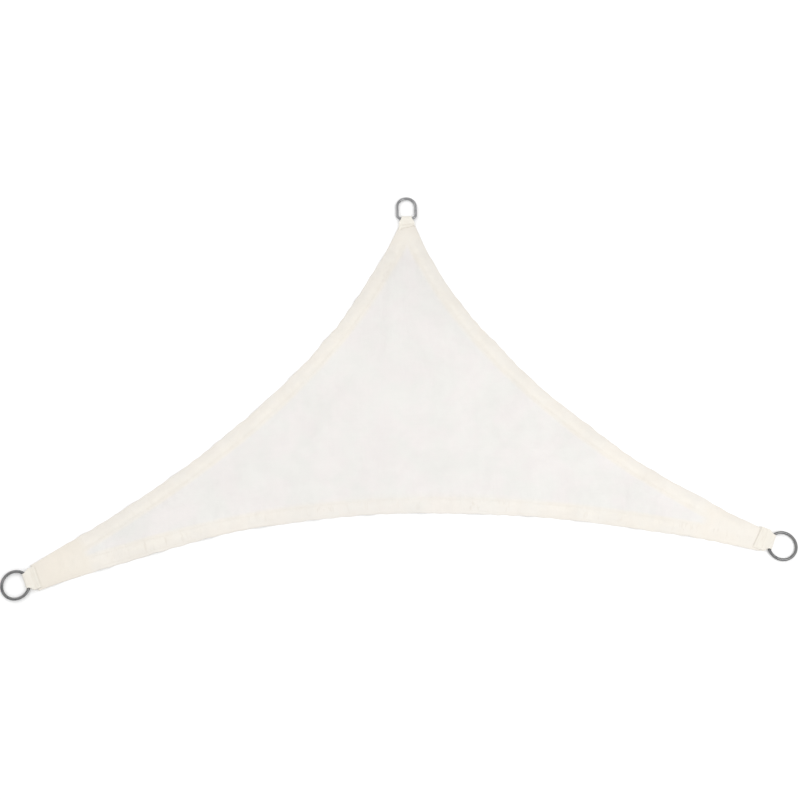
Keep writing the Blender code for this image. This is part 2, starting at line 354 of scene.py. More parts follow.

# %% [markdown]
# ## How the cloth lies
# Laid on a flat floor, a sail touches it nearly everywhere. It stands up in a few long low folds
# that run from the corners, and in short creases from the way it was folded in its bag. A cloth
# simulation would settle most of them flat, so each is listed instead: its middle, its heading in
# degrees, half its length and width, and its height.

# %% Place the folds and creases
Fold = namedtuple("Fold", "x y heading length width height")
FOLDS = [Fold(*row) for row in (
    (-0.64, 0.135, 24, 0.26, 0.032, 0.005), (-0.5, 0.25, 38, 0.22, 0.038, 0.005),
    (-0.35, 0.185, 12, 0.18, 0.034, 0.0036), (-0.13, 0.43, 52, 0.22, 0.042, 0.0056),
    (0.015, 0.68, 84, 0.22, 0.032, 0.0064), (0.12, 0.53, -70, 0.18, 0.036, 0.0048),
    (0.27, 0.35, -48, 0.2, 0.04, 0.0052), (0.42, 0.235, -34, 0.2, 0.036, 0.0042),
    (0.66, 0.13, -23, 0.24, 0.03, 0.0056), (0.09, 0.225, -8, 0.16, 0.034, 0.003),
)]
CREASES = [Fold(*row) for row in (
    (-0.59, 0.168, 22, 0.09, 0.014, 0.0022), (-0.634, 0.096, 70, 0.04, 0.012, 0.0016),
    (-0.336, 0.15, 62, 0.06, 0.02, 0.003), (-0.452, 0.15, 80, 0.055, 0.016, 0.002),
    (-0.255, 0.21, 100, 0.08, 0.018, 0.0018), (-0.07, 0.23, 84, 0.09, 0.022, 0.002),
    (0.05, 0.19, 96, 0.06, 0.014, 0.0016), (0.28, 0.356, 94, 0.09, 0.026, 0.0026),
    (0.232, 0.17, 75, 0.055, 0.014, 0.002), (0.43, 0.312, 49, 0.06, 0.014, 0.0022),
    (0.35, 0.165, 92, 0.05, 0.018, 0.0018), (0.503, 0.15, 118, 0.075, 0.02, 0.0022),
    (0.592, 0.14, 86, 0.055, 0.012, 0.0026), (0.659, 0.112, 80, 0.036, 0.012, 0.0018),
    (0.67, 0.15, -26, 0.12, 0.012, 0.0024), (0.055, 0.725, 8, 0.05, 0.022, 0.0018),
    (0.02, 0.79, 76, 0.07, 0.012, 0.0022), (0.094, 0.8, 98, 0.08, 0.012, 0.0018),
    (-0.01, 0.56, 66, 0.11, 0.018, 0.002), (-0.21, 0.33, 46, 0.1, 0.02, 0.002),
    (0.15, 0.42, -60, 0.1, 0.02, 0.0018), (-0.735, 0.072, 21, 0.08, 0.012, 0.0018),
)]


def fold_height(fold, points):
    """How far a fold lifts the cloth at places in plan."""
    heading = radians(fold.heading)
    away = points - np.array((fold.x, fold.y))
    along = away @ np.array((cos(heading), sin(heading)))
    across = away @ np.array((-sin(heading), cos(heading)))
    return fold.height * hump(along / fold.length) * hump(across / fold.width)


print("%d folds and %d creases" % (len(FOLDS), len(CREASES)))

# %% [markdown]
# ## How the hems lie
# Thread draws the layers of a hem together, and never evenly. So a hem lifts off the floor in slow
# waves, it has many short gathers across its seam, and its edge runs in small scallops. These are
# written as waves along the seam, and two slower waves make them stronger and weaker by turns. The
# edge also strays from its smooth curve in a few places, each listed by how far along it is, its
# half length, and how far in it goes. All of an edge is drawn in a little by the turn of its cloth.

# %% Measure along an edge
def measured(points, line):
    """How far each point is from an edge, and the length of that edge up to there."""
    runs = line[1:] - line[:-1]
    lengths = np.linalg.norm(runs, axis=1)
    away = points[:, None] - line[:-1]
    along = np.clip((away * runs).sum(axis=2) / lengths ** 2, 0, 1)
    gaps = np.linalg.norm(away - along[..., None] * runs, axis=2)
    best = gaps.argmin(axis=1)
    rows = np.arange(len(points))
    return gaps[rows, best], walked_to(line)[best] + along[rows, best] * lengths[best]


def wobble(run, waves, starts):
    """Waves along a seam, each with its size and its turn in radians for each metre."""
    return sum(size * np.sin(beat * run + start) for (size, beat), start in zip(waves, starts))


print("samples of each edge:", EDGE_SAMPLES)

# %% Waves and gathers of the hems
PUCKER_PITCH = 0.135
PUCKER_HEIGHT = 0.0032
PUCKER_REACH = 0.075
GATHER_PITCH = 0.027
GATHER_HEIGHT = 0.0016
GATHER_REACH = 0.050
GATHER_SHARPNESS = 1.6
OUTER_GATHER = 0.25
EVEN_SHARE = 0.58
UNEVEN_WAVES = ((0.27, 14.3), (0.15, 37.0))
DRIFT_WAVES = ((1.7, 9.1), (1.1, 23.7))


def uneven(number, run):
    """How strongly a seam is gathered at a place along it: from a little to fully."""
    return EVEN_SHARE + wobble(run, UNEVEN_WAVES, (3 * number, number))


def seam_waves(number, gap, run):
    """Slow waves of a hem, and the short gathers across its seam."""
    slow = np.maximum(np.sin(2 * pi * run / PUCKER_PITCH + number), 0) ** 2
    drift = wobble(run, DRIFT_WAVES, (number, 2 * number))
    short = (0.5 + 0.5 * np.sin(2 * pi * run / GATHER_PITCH + drift)) ** GATHER_SHARPNESS
    fade = 1 - smooth((gap - HEM_WIDTH) / GATHER_REACH)
    inner = smooth(gap / HEM_WIDTH) * fade
    return (PUCKER_HEIGHT * slow * (1 - smooth(gap / PUCKER_REACH))
            + GATHER_HEIGHT * short * uneven(number, run)
            * (OUTER_GATHER + (1 - OUTER_GATHER) * inner) * fade)


def underside(points, reached):
    """Height of the cloth's underside over places in plan."""
    height = sum(fold_height(fold, points) for fold in FOLDS + CREASES)
    for number, (gap, run) in enumerate(reached):
        height = height + seam_waves(number, gap, run)
    for corner in CORNERS:
        place, inwards, _ = corner_axes(corner)
        away = points - place
        calm = smooth((away @ inwards - CALM_KEEP) / CALM_RUN)
        near = np.linalg.norm(away, axis=1) < CALM_KEEP + 2 * CALM_RUN
        height = np.where(near, height * calm + SEAT * (1 - calm), height)
    return height


print("gathers of the front seam: %.0f" % (LENGTHS[0] / GATHER_PITCH))

# %% The edges' uneven line
SCALLOP_PITCH = 0.041
SCALLOP_DEPTH = 0.0020
SCALLOP_REACH = 0.050
SCALLOP_WAVES = ((2.1, 11.0),)
CALM_ENDS = 0.060
EDGE_TURN = 0.0013
STRAYS = {
    "front": ((0.24, 0.20, -0.0042), (0.52, 0.12, 0.0030), (1.09, 0.22, -0.0022),
              (1.69, 0.14, 0.0026)),
    "port": ((0.09, 0.08, -0.0018), (0.61, 0.07, -0.0026), (0.73, 0.05, -0.0022),
             (0.89, 0.05, 0.0016), (1.00, 0.06, 0.0026), (1.17, 0.07, -0.0024)),
    "starboard": ((0.17, 0.26, 0.0024), (0.42, 0.07, -0.0022), (0.57, 0.12, 0.0012),
                  (0.73, 0.04, -0.0020), (0.88, 0.15, 0.0030), (1.07, 0.09, -0.0024)),
}


def inward_side(number):
    """1 where the cloth lies to the left of an edge's line, and -1 where it lies to the right."""
    return 1 if EDGES[number].sag > 0 else -1


def drawn_in(points, reached):
    """Places in plan, with the edges moved in or out to their uneven line and small scallops."""
    moved = points.copy()
    for number, (gap, run) in enumerate(reached):
        chord = LINES[number][-1] - LINES[number][0]
        inwards = inward_side(number) * np.array((-chord[1], chord[0])) / np.linalg.norm(chord)
        ends = np.minimum(run, LENGTHS[number] - run) - CALM_ENDS
        drift = wobble(run, SCALLOP_WAVES, (number,))
        wave = np.sin(2 * pi * run / SCALLOP_PITCH + drift)
        depth = EDGE_TURN + sum(inward * hump((run - middle) / reach)
                                for middle, reach, inward in STRAYS[EDGES[number].name])
        depth += SCALLOP_DEPTH / 2 * wave * uneven(number + 1, run) * smooth(ends / CALM_ENDS)
        moved += np.outer(depth * (1 - smooth(gap / SCALLOP_REACH)), inwards)
    return moved


print("the edges stray in %d places" % sum(map(len, STRAYS.values())))

# %% [markdown]
# ## The sheet
# The cloth starts as one flat grid. Its columns run from the front edge to the back edges, and its
# rows follow the hems, closest together at the edge and round the seam. Even squares as fine as the
# seam would be far too many. The hem's rows are given by their gaps from the edge, each with its
# share of the hem's thickness: less at the edge and where a row of thread presses it.

# %% Lay out the grid
PORT_COLUMNS = 232
TIP_COLUMNS = 10
STARBOARD_COLUMNS = 206
PANEL_ROWS = 46
ROW_MIN = 0.00025
HALVINGS = 30
HEM_GAPS = (0, 0.0014, 0.0040, 0.0062, 0.0086, 0.0140, 0.0200, 0.0260, 0.0310, 0.0336, 0.0352,
            0.0366, 0.0382, 0.0398, 0.0412, 0.0450)
HEM_SHARES = (0.50, 0.76, 0.90, 0.84, 0.94, 1.00, 1.00, 1.00, 0.98, 0.94, 0.88,
              0.87, 0.90, 0.84, 0.62, PANEL_THICK / HEM_THICK)
columns = PORT_COLUMNS + TIP_COLUMNS + STARBOARD_COLUMNS
rows = 2 * len(HEM_GAPS) + PANEL_ROWS - 2


def hem_end(low, high, lines):
    """Share of the way from low to high at which the hem along some edges ends."""
    start, end = np.zeros(len(low)), np.ones(len(low))
    for _ in range(HALVINGS):
        middle = (start + end) / 2
        points = low + (high - low) * middle[:, None]
        inside = np.min([measured(points, line)[0] for line in lines], axis=0) < HEM_WIDTH
        start = np.where(inside, middle, start)
        end = np.where(inside, end, middle)
    return end


tip_shares = np.linspace(0, 1, TIP_COLUMNS + 1)[1:-1, None]
tip_line = cut_end("top", "port") * (1 - tip_shares) + cut_end("top", "starboard") * tip_shares
front_line = edge_line(EDGES[0], np.linspace(0, 1, columns + 1))
back_line = np.concatenate((edge_line(EDGES[1], np.linspace(0, 1, PORT_COLUMNS + 1)), tip_line,
                            edge_line(EDGES[2], np.linspace(0, 1, STARBOARD_COLUMNS + 1))))
reach = np.linalg.norm(back_line - front_line, axis=1)
narrow = (PANEL_ROWS + 2) * ROW_MIN / reach / 2
front_hem = hem_end(front_line, back_line, LINES[:1])
back_hem = hem_end(back_line, front_line, LINES[1:])
meet = np.where(front_hem + back_hem < 2, (front_hem + 1 - back_hem) / 2, 0.5)
front_hem = np.minimum(front_hem, meet - narrow)
back_hem = np.minimum(back_hem, 1 - meet - narrow)
gap_shares = np.array(HEM_GAPS) / HEM_WIDTH
print("grid: %d columns, %d rows" % (columns, rows))

# %% Make the sheet
def lay_map(form, name, places):
    """Lays a map on a form, with a flat place for each of its points."""
    layer = form.loops.layers.uv.new(name)
    for face in form.faces:
        for loop in face.loops:
            loop[layer].uv = places[loop.vert.index]


def column_shares(front, back):
    """Where the rows of one column lie, as shares of the way from the front edge to the back."""
    room = 1 - front - back
    inside = [min(1.0, share) for share in gap_shares]
    past = [max(0.0, share - 1) for share in gap_shares]
    step = min(1.0, room / (front + back))
    front_rows = [front * (near + far * step) for near, far in zip(inside, past)]
    back_rows = [1 - back * (near + far * step) for near, far in zip(inside, past)]
    middle = np.linspace(front_rows[-1], back_rows[-1], PANEL_ROWS + 1)[1:-1]
    return np.concatenate((front_rows, middle, back_rows[::-1]))


shares = np.array([column_shares(front, back) for front, back in zip(front_hem, back_hem)])
plan = front_line[:, None] + (back_line - front_line)[:, None] * shares[..., None]
flat_plan = plan.reshape(-1, 2)
reached = [measured(flat_plan, line) for line in LINES]
gaps, runs = np.array(reached).swapaxes(0, 1)
nearest = gaps.argmin(axis=0)
gap = gaps.min(axis=0)
run = runs[nearest, np.arange(len(gap))]
heights = np.maximum(underside(flat_plan, reached), 0)
moved = drawn_in(flat_plan, reached)

sail_form = bmesh.new()
bmesh.ops.create_grid(sail_form, x_segments=columns, y_segments=rows, size=0.5)
spots = []
for vert in sail_form.verts:
    column = round((vert.co.x + 0.5) * columns)
    row = round((vert.co.y + 0.5) * rows)
    spot = column * (rows + 1) + row
    vert.co = (*moved[spot], heights[spot])
    spots.append(spot)
bmesh.ops.transform(sail_form, matrix=SETTING, verts=sail_form.verts)
lay_map(sail_form, "seam", np.stack((run, gap), axis=1)[spots])
sail = piece_from(sail_form, "sail")
print("sheet: %d faces on each side" % len(sail.data.polygons))

# %% [markdown]
# ## Layers, wear and thickness
# What changes over the cloth is kept at its points, for the material to read: how much it is
# backed by other layers, how near it is to the edge and to a corner, and how much painted shade
# its edge gets. The turned-in layers end softly, and least visibly in the middle of the front edge.
# Solidify then gives the sheet its thickness, with a share for each point.

# %% Work out the layers
PATCH_FADE = 0.030
PATCH_LAYERS = 0.97
SEAM_FROM = 0.030
HEM_FADE = 0.009
PALE_HEM = 0.38
PALE_MIDDLE = 0.92
PALE_REACH = 0.62
# How much painted shade the hem along each edge gets: front, port and starboard.
EDGE_SHADE_WEIGHTS = np.array((0.25, 1.0, 0.85))


def past_patches(points):
    """How far places in plan are outside the nearest corner's layers."""
    return np.min([np.linalg.norm(points - corner_axes(corner)[0], axis=1) - corner.patch
                   for corner in CORNERS], axis=0)


patch_share = 1 - smooth(past_patches(flat_plan) / PATCH_FADE)
pale_share = PALE_HEM * hump((run - PALE_MIDDLE) / PALE_REACH) * (nearest == 0)
hem_share = (1 - smooth((gap - HEM_WIDTH) / HEM_FADE)) * (1 - pale_share)
hem_share = np.maximum(hem_share, patch_share)
profile = np.interp(gap, HEM_GAPS, HEM_SHARES)
calm_profile = np.where(gap < SEAM_FROM, profile, np.maximum(profile, PATCH_LAYERS))
thickness = profile + (calm_profile - profile) * patch_share
print("cloth: up to %.1f mm thick" % (1000 * HEM_THICK * thickness.max()))

# %% Give the sheet its thickness
SHARP_TURN = radians(50)


def keep_measure(piece, name, values):
    """Keeps a number for each point of a piece, for its material to read."""
    measure = piece.data.attributes.new(name, "FLOAT", "POINT")
    measure.data.foreach_set("value", np.asarray(values, dtype=np.float32))


def thicken(piece, shares, thickness, offset):
    """Gives a sheet its thickness, with a share of it at each point."""
    group = piece.vertex_groups.new(name="thick")
    for index, share in enumerate(shares):
        group.add((index,), float(share), "REPLACE")
    shell = piece.modifiers.new("thickness", "SOLIDIFY")
    shell.thickness = thickness
    shell.offset = offset
    shell.vertex_group = group.name
    shell.thickness_vertex_group = 0
    return shell


keep_measure(sail, "in_hem", hem_share[spots])
keep_measure(sail, "edge_gap", gap[spots])
keep_measure(sail, "in_patch", patch_share[spots])
keep_measure(sail, "edge_shade", EDGE_SHADE_WEIGHTS[nearest][spots])
thicken(sail, thickness[spots], HEM_THICK, offset=1)
sail.data.set_sharp_from_angle(angle=SHARP_TURN)
print("cloth: %.3f square metres" % sum(face.area for face in sail.data.polygons))

# %% [markdown]
# ## Cloth
# The cloth is a plain weave of fine polyester yarn, cream and matt. Seen in one layer over a white
# floor it looks paler and greyer than in the hem, where three layers hide what is behind them. The
# yarns aren't all alike, so faint streaks run both ways, and a sail that has been handled has soft
# greyer clouds. The weave itself is a bump, too fine to model.

# %% Weave the cloth's yarn
PANEL_WARM = (0.765, 0.735, 0.718, 1)
PANEL_COOL = (0.750, 0.741, 0.714, 1)
HEM_WARM = (0.788, 0.746, 0.682, 1)
HEM_COOL = (0.780, 0.750, 0.698, 1)
# A tone for the painted highlight on the crests between gathers.
CREST_HIGHLIGHT_TONE = (0.812, 0.776, 0.710, 1)
# A tone for painted shade on the outer half of the back hems.
BACK_HEM_SHADE_TONE = (0.700, 0.668, 0.625, 1)
TIP_TONE = (0.786, 0.728, 0.632, 1)
# A tone for painted shade in the seam's groove and across the creases.
SEAM_SHADE_TONE = (0.640, 0.585, 0.510, 1)
# A tone for the thin painted shadow along the outermost edge.
EDGE_SHADOW_TONE = (0.600, 0.560, 0.500, 1)
YARN_PITCH = 0.0011
SLUB_RUN = 5
SLUB_ACROSS = 260

cloth = Finish("sail_cloth", {"Roughness": 0.86, "Sheen Weight": 0.18, "Sheen Roughness": 0.5,
                              "Specular IOR Level": 0.3})
hem = cloth.attribute("in_hem")
edge = cloth.attribute("edge_gap")
patch = cloth.attribute("in_patch")
edge_shade_share = cloth.attribute("edge_shade")
along_seam = cloth.node("UVMap", {"uv_map": "seam"})
even = cloth.places((1, 1, 1))
x, y = cloth.axes(even)
warp = (x * (2 * pi / YARN_PITCH)).sine()
weft = (y * (2 * pi / YARN_PITCH)).sine()
slub_x = cloth.noise(cloth.places((SLUB_RUN, SLUB_ACROSS, 1)), 1.0, detail=3.0)
slub_y = cloth.noise(cloth.places((SLUB_ACROSS, SLUB_RUN, 1)), 1.0, detail=3.0)
streaks = (slub_x + slub_y).between(0.75, 1.25, 0.996, 1.003)
clouds = cloth.noise(even, 7.0, detail=4.0, roughness=0.55).between(0.32, 0.68, 0.980, 1.012)
smudge = cloth.noise(even, 26.0, detail=3.0, roughness=0.6).between(0.35, 0.7, 1.006, 0.986)
hue = cloth.noise(even, 11.0, detail=3.0, roughness=0.6).between(0.35, 0.65)
relief = warp * weft * 0.8 + (slub_x + slub_y) * 0.3
print("yarns in a metre: %.0f" % (1 / YARN_PITCH))

# %% [markdown]
# Along the hems more can be seen. The crests between gathers get a painted highlight, the groove of
# the main seam gets painted shade in blotches, and a thin painted shadow runs along the outermost
# edge. The outer half of the two back hems is painted greyer, as shade. The front hem gets painted
# shade across it in places, where it is creased. The tips are warmer, most of all the left one, and
# painted shade makes the cloth a little darker towards the far corner, and lighter at the front. A
# painted picture could hold these marks too, but numbers stay sharp from near. In the end all of it
# is put together into one tone.

# %% Mark the hems
SEAM_GAP = 0.0359


def seam_noise(run_scale, gap_scale):
    """Noise laid out along the nearest seam."""
    place = cloth.places((run_scale, gap_scale, 1), along_seam)
    return cloth.noise(place, 1.0, detail=3.0, roughness=0.6)


blotches = seam_noise(70, 40).between(0.40, 0.66)
groove = 1 - (edge - SEAM_GAP).size().between(0.0006, 0.0060)
# Painted shade in the groove of the main seam, in blotches.
seam_groove_shade = groove * (1 - patch) * blotches * edge_shade_share
# Painted highlight on the crests between the gathers.
painted_crest_highlight = seam_noise(34, 60).between(0.40, 0.68)
painted_crest_highlight = painted_crest_highlight * edge.between(0.014, 0.026) * (1 - edge.between(0.030, 0.038)) * (1 - patch)
# Painted shade on the outer half of the hems, strongest on the back edges.
back_hem_shade = edge_shade_share * (1 - edge.between(0.009, 0.027)) * seam_noise(16, 20).between(0.30, 0.66, 0.5, 1)
# Painted shade across the front hem, where it is creased.
crease_shade = seam_noise(95, 26).between(0.55, 0.64) * edge.between(0.004, 0.012)
crease_shade = crease_shade * (1 - edge.between(0.030, 0.046)) * seam_noise(5, 1).between(0.42, 0.60)
crease_shade = crease_shade * edge_shade_share.between(0.25, 0.85, 1.0, 0.3)
# A thin painted shadow along the outermost edge of the cloth.
edge_shadow = (1 - edge.between(0.0, 0.0050)) * seam_noise(45, 30).between(0.30, 0.62, 0.35, 1.0)
# Painted light and shade: the cloth is lighter at the front and darker towards the far corner.
painted_falloff = y.between(0.0, 0.42, 1.020, 0.970)
tip_warmth = patch * x.between(-0.72, -0.60, 1.0, 0.35)
print("marks along the hems: %d nodes so far" % len(cloth.tree.nodes))

# %% Put the cloth's tones together
single = cloth.blend(hue, PANEL_WARM, PANEL_COOL)
layered = cloth.blend(hue, HEM_WARM, HEM_COOL)
layered = cloth.blend(painted_crest_highlight * 0.7, layered, CREST_HIGHLIGHT_TONE)
layered = cloth.blend(back_hem_shade * 0.32, layered, BACK_HEM_SHADE_TONE)
layered = cloth.blend(tip_warmth * 0.5, layered, TIP_TONE)
tone = cloth.blend(hem, single, layered)
tone = cloth.tint(tone, streaks * clouds * smudge * painted_falloff)
tone = cloth.blend(seam_groove_shade * 0.13, tone, SEAM_SHADE_TONE)
tone = cloth.blend(crease_shade * 0.28, tone, SEAM_SHADE_TONE)
tone = cloth.blend(edge_shadow * 0.16, tone, EDGE_SHADOW_TONE)
cloth_finish = cloth.feed(Base_Color=tone, Normal=cloth.bump(relief, 0.00025, 0.45))
sail.data.materials.append(cloth_finish)
print("cloth finish: %d nodes" % len(cloth.tree.nodes))

# %% [markdown]
# ## Hem stitching
# A lockstitch machine leaves a row of short beads that dive into the cloth at both ends. Each bead
# is a small ball drawn out along the seam and half sunk. They are made a batch at a time, because a
# large mesh is slow to add to.

# %% Shape a stitch
STITCH_WIDE = 0.0009
STITCH_HIGH = 0.00045
BATCH = 40
Bead = namedtuple("Bead", "place along normal long")


def add_bead(form, bead):
    """One stitch: a ball drawn out along the seam, with its lower half in the cloth."""
    along = (bead.along - bead.normal * bead.along.dot(bead.normal)).normalized()
    across = bead.normal.cross(along) * STITCH_WIDE / 2
    turn = Matrix((across, bead.normal * STITCH_HIGH, along * bead.long / 2))
    turn = Matrix.Translation(bead.place) @ turn.transposed().to_4x4()
    bmesh.ops.create_uvsphere(form, u_segments=6, v_segments=4, radius=1, matrix=turn)


def sewn(beads, name, finish):
    """One piece from many beads."""
    whole = bmesh.new()
    for first in range(0, len(beads), BATCH):
        form = bmesh.new()
        for bead in beads[first:first + BATCH]:
            add_bead(form, bead)
        batch = bpy.data.meshes.new("batch")
        form.to_mesh(batch)
        form.free()
        whole.from_mesh(batch)
        bpy.data.meshes.remove(batch)
    piece = piece_from(whole, name)
    piece.data.materials.append(finish)
    return piece


print("a stitch is %.1f mm wide" % (1000 * STITCH_WIDE))

# %% Mix the thread
THREAD_DEEP = (0.760, 0.715, 0.640, 1)
THREAD_PALE = (0.800, 0.760, 0.690, 1)
PLY_PITCH = 0.0008

thread = Finish("thread", {"Roughness": 0.55, "Sheen Weight": 0.2})
thread_places = thread.places((1, 1, 1))
thread_tone = thread.blend(thread.noise(thread_places, 60.0), THREAD_DEEP, THREAD_PALE)
ply = (thread.axes(thread_places)[0] * (2 * pi / PLY_PITCH)).sine()
thread_finish = thread.feed(Base_Color=thread_tone, Normal=thread.bump(ply, 0.0001, 0.4))
print("thread finish: %d nodes" % len(thread.tree.nodes))

# %% [markdown]
# The main row holds down the inner fold of the hem, and a second one, near the edge, keeps it flat.
# Near the corners only the outer row goes on. A ray from above finds the cloth under each stitch.

# %% Sew the hems
STITCH_PITCH = 0.0042
STITCH_LONG = 0.0031
EDGE_ROW = 0.0063
ROW_MARGIN = 0.008
END_MARGIN = 0.012
rng = np.random.RandomState(11)


def seam_row(number, offset):
    """Places along a seam at even steps, each with the way to the next one."""
    line = LINES[number]
    runs = line[1:] - line[:-1]
    ways = runs / np.linalg.norm(runs, axis=1)[:, None]
    inwards = inward_side(number) * np.stack((-ways[:, 1], ways[:, 0]), axis=1)
    inner = line[:-1] + inwards * offset
    walked = walked_to(inner)
    steps = np.arange(END_MARGIN, walked[-1] - END_MARGIN, STITCH_PITCH)
    places = np.stack([np.interp(steps, walked, inner[:, axis]) for axis in (0, 1)], axis=1)
    return places, np.gradient(places, axis=0)


def clear_of_corners(number, offset, places):
    """Which places of a row stay clear of the other edges and, in the main row, of the corners."""
    others = [line for index, line in enumerate(LINES) if index != number]
    clear = np.min([measured(places, line)[0] for line in others], axis=0) > ROW_MARGIN
    if offset == SEAM_GAP:
        clear &= past_patches(places) > PATCH_FADE / 2
    return clear


bpy.context.view_layer.update()
surface = BVHTree.FromObject(sail, bpy.context.evaluated_depsgraph_get())
shift = SETTING.to_translation()
hem_beads = []
for number in range(len(EDGES)):
    for offset in (SEAM_GAP, EDGE_ROW):
        places, ways = seam_row(number, offset)
        clear = clear_of_corners(number, offset, places)
        for place, way in zip(places[clear], ways[clear]):
            above = Vector((place[0] + shift.x, place[1] + shift.y, 1))
            spot, normal, _, _ = surface.ray_cast(above, Vector((0, 0, -1)))
            if spot is None:
                continue
            turn = rng.uniform(-0.12, 0.12)
            along = Vector((way[0] - turn * way[1], way[1] + turn * way[0], 0))
            hem_beads.append(Bead(spot, along, normal, STITCH_LONG * rng.uniform(0.9, 1.08)))
hem_stitches = sewn(hem_beads, "hem_stitches", thread_finish)
print("hems: %d stitches" % len(hem_beads))

# %% [markdown]
# ## Webbing tabs
# Each tab is a strip of wide polyester webbing, folded round the bar of the ring and sewn to both
# faces of the cloth. Webbing is woven in ribs along its length, has a thinner selvedge on each
# side, and draws in where it turns round the bar. The strip is a grid bent along its path, thick
# on the ribs and thin between them. Its end on top is cut a little askew and pressed down. The fold
# has to follow the ring's shape, because the bar's ends bend away.

# %% The ring's shape in plan
RingShape = namedtuple("RingShape", "radius middle bar_half meet")


def ring_shape(fitting):
    """The round end's radius and middle, half the straight bar, and the turn at which a tight
    corner ends."""
    radius = (fitting.ring_width - WIRE) / 2
    middle = fitting.ring_depth - fitting.ring_width / 2
    if middle > radius:
        return RingShape(radius, middle, radius - RING_CORNER, pi / 2)
    bar_half = sqrt((radius - RING_CORNER) ** 2 - (middle - RING_CORNER) ** 2)
    return RingShape(radius, middle, bar_half, atan2(bar_half, RING_CORNER - middle))


def bar_bend(side, fitting):
    """How far outwards the bar has bent beside its middle, and how much longer a cut through it
    is there."""
    bar_half = ring_shape(fitting).bar_half
    past = max(min(abs(side), fitting.fold / 2) - bar_half, 0.0)
    level = sqrt(RING_CORNER ** 2 - past ** 2)
    return RING_CORNER - level, RING_CORNER / level


print("straight part of a near bar: %.1f mm" % (2000 * ring_shape(WIDE).bar_half))

# %% The webbing's path
FOLD_FADE = 0.014
CLOSE_RUN = 0.016
LEG_STAGGER = 0.002
LEG_STEPS = 14
TURN_STEPS = 20
CLOSE_STEPS = 14


def tab_path(leg):
    """The middle of the webbing in section: inward, up, and the share of the top leg."""
    lower = leg + LEG_STAGGER
    path = [(lower * (1 - step / LEG_STEPS), LEG_LOW, 0.0) for step in range(LEG_STEPS)]
    for step in range(TURN_STEPS + 1):
        turn = pi * step / TURN_STEPS
        path.append((-BAR_RISE * sin(turn), BAR_HIGH - BAR_RISE * cos(turn), 0.0))
    top = BAR_HIGH + BAR_RISE
    for step in range(1, CLOSE_STEPS + 1):
        share = step / CLOSE_STEPS
        path.append((CLOSE_RUN * share, top + (LEG_HIGH - top) * smooth(share), 0.0))
    for step in range(1, LEG_STEPS + 1):
        share = step / LEG_STEPS
        path.append((CLOSE_RUN + (leg - CLOSE_RUN) * share, LEG_HIGH, share))
    return path


def tab_spot(corner, inward, side, high, top_share):
    """A point of a corner's tab, with the cut of its top leg askew."""
    fitting = corner.fitting
    spread = smooth(inward / FOLD_FADE)
    side = side * (fitting.fold + (fitting.web - fitting.fold) * spread) / fitting.web
    bow, stretch = bar_bend(side, fitting)
    bent = inward * stretch - bow
    askew = corner.slant * side * top_share
    return corner_point(corner, bent + (inward - bent) * spread + askew, side, high)


print("the webbing's path has %d points" % len(tab_path(0)))

# %% Bend the webbing
RIB_PITCH = 0.0025
RIB_STEPS = 4
RIB_DEPTH = 0.16
SELVEDGE = 0.0022
SELVEDGE_THIN = 0.60
CUT_RUN = 0.0045
CUT_THIN = 0.80
PRESSED = 0.0002


def pressed(side_gap, cut_gap):
    """The webbing's share of thickness, less at its sides and cut end, and how far that end is
    pressed down."""
    near_cut = 1 - float(smooth(cut_gap / CUT_RUN))
    near_side = 1 - float(smooth(side_gap / SELVEDGE))
    return min(1 - SELVEDGE_THIN * near_side, 1 - CUT_THIN * near_cut), PRESSED * near_cut


def make_tab(corner):
    """One strip of webbing, bent round its bar, and its length."""
    path = tab_path(corner.leg)
    lengths = walked_to(np.array(path)[:, :2]).tolist()
    fold_length = lengths[LEG_STEPS + TURN_STEPS // 2]
    web = corner.fitting.web
    ribs = round(web / RIB_PITCH)
    form = bmesh.new()
    bmesh.ops.create_grid(form, x_segments=len(path) - 1, y_segments=ribs * RIB_STEPS, size=0.5)
    shares = []
    to_cut = []
    laid = []
    for vert in form.verts:
        step = round((vert.co.x + 0.5) * (len(path) - 1))
        side = -vert.co.y * web
        inward, high, top_share = path[step]
        rib = (0.5 + 0.5 * cos(2 * pi * vert.co.y * ribs)) * RIB_DEPTH
        cut_gap = min(lengths[step], lengths[-1] - lengths[step])
        thin, sunk = pressed(web / 2 - abs(side), cut_gap)
        shares.append((1 - rib) * thin)
        if top_share > 0:
            high -= WEB_THICK / 2 * (1 - shares[-1]) + sunk
        to_cut.append(cut_gap)
        laid.append((side, lengths[step] - fold_length))
        vert.co = tab_spot(corner, inward, side, high, top_share)
    lay_map(form, "strip", laid)
    bmesh.ops.transform(form, matrix=SETTING, verts=form.verts)
    tab = piece_from(form, "webbing_" + corner.name)
    keep_measure(tab, "to_cut", to_cut)
    thicken(tab, shares, WEB_THICK, offset=0).use_even_offset = True
    return tab, lengths[-1]


tabs = {}
tab_lengths = {}
for corner in CORNERS:
    tabs[corner.name], tab_lengths[corner.name] = make_tab(corner)
    print("webbing %s: %.0f mm long" % (corner.name, 1000 * tab_lengths[corner.name]))

# %% [markdown]
# ## Webbing finish
# Polyester webbing shines a little more than the cloth. Its yarns cross the ribs at a slant, which
# a fine bump shows. The cut end is sealed with heat, and its last millimetres are painted a little
# browner, as painted shade under the step of the cut. The fold round the bar is painted slightly
# grey, as painted shade inside the fold.

# %% Mix the webbing
WEB_PALE = (0.842, 0.808, 0.732, 1)
WEB_DEEP = (0.824, 0.784, 0.706, 1)
# A tone for painted shade inside the fold round the bar.
FOLD_SHADE_TONE = (0.70, 0.68, 0.64, 1)
